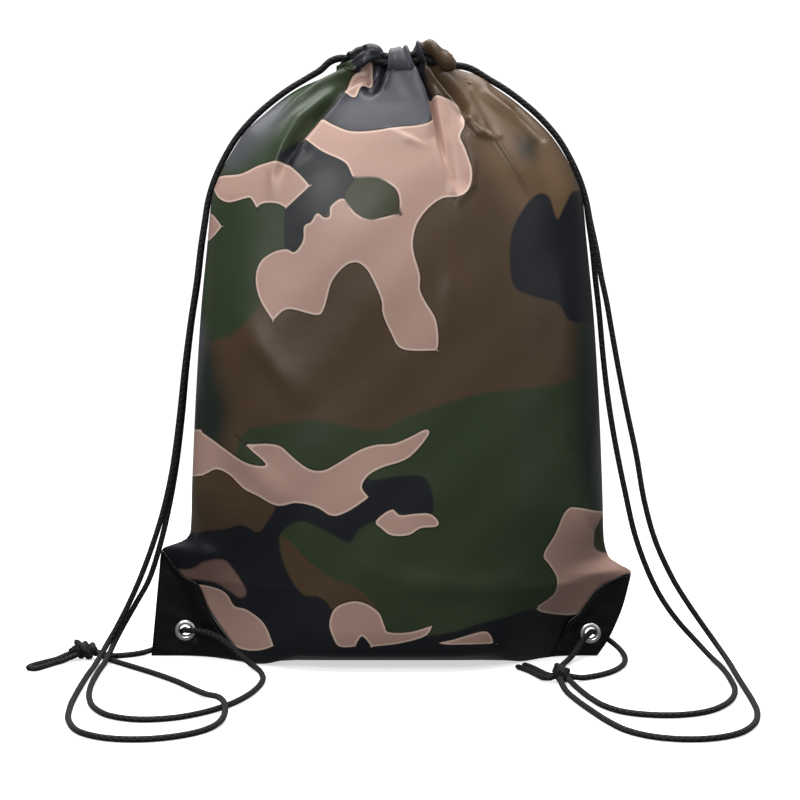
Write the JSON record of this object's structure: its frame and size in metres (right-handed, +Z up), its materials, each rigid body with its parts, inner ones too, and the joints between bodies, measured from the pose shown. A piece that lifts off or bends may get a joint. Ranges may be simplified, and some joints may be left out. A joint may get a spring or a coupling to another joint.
{
  "type": "drawstring backpack",
  "caption": "Stuffed drawstring backpack with a gathered mouth, cords that serve as shoulder straps, and eyelets in reinforced lower corners.",
  "frame": {"origin": "on the floor under the middle of the base, on the front panel just in front of the base seam", "axes": "+Z up to the mouth, +X to the right seen from the front, the front faces -Y"},
  "size_m": [0.4888, 0.3142, 0.4281],
  "materials": {
    "camouflage_cloth": "woven polyester with a satin coating, printed in woodland colours",
    "corner_leatherette": "black leatherette, fine grain, satin",
    "eyelet_nickel": "bright nickel plate",
    "cord": "black braided polyester cord, slight sheen"
  },
  "bodies": {
    "root": {"front_panel": "camouflage_cloth", "back_panel": "camouflage_cloth", "back_casing": "camouflage_cloth", "left_patch_front": "corner_leatherette", "left_patch_back": "corner_leatherette", "left_eyelet": "eyelet_nickel", "left_eyelet_washer": "eyelet_nickel", "right_patch_front": "corner_leatherette", "right_patch_back": "corner_leatherette", "right_eyelet": "eyelet_nickel", "right_eyelet_washer": "eyelet_nickel", "left_cord_loop": "cord", "left_cord_front_strand": "cord", "left_cord_back_strand": "cord", "left_cord_eyelet_run": "cord", "left_knot": "cord", "left_knot_tail": "cord", "right_cord_loop": "cord", "right_cord_front_strand": "cord", "right_cord_back_strand": "cord", "right_cord_eyelet_loop": "cord", "right_knot": "cord", "right_cord_end_one": "cord", "right_cord_end_two": "cord"},
    "front_lip": {"front_casing": "camouflage_cloth"}
  },
  "joints": [
    {"name": "mouth_open", "type": "hinge", "parent": "root", "child": "front_lip", "pos_m": [0, -0.014, 0.375], "axis": [1, 0, 0], "range_deg": [0, 30], "deforming": ["left_cord_loop", "right_cord_loop", "left_cord_front_strand", "right_cord_front_strand"]}
  ]
}
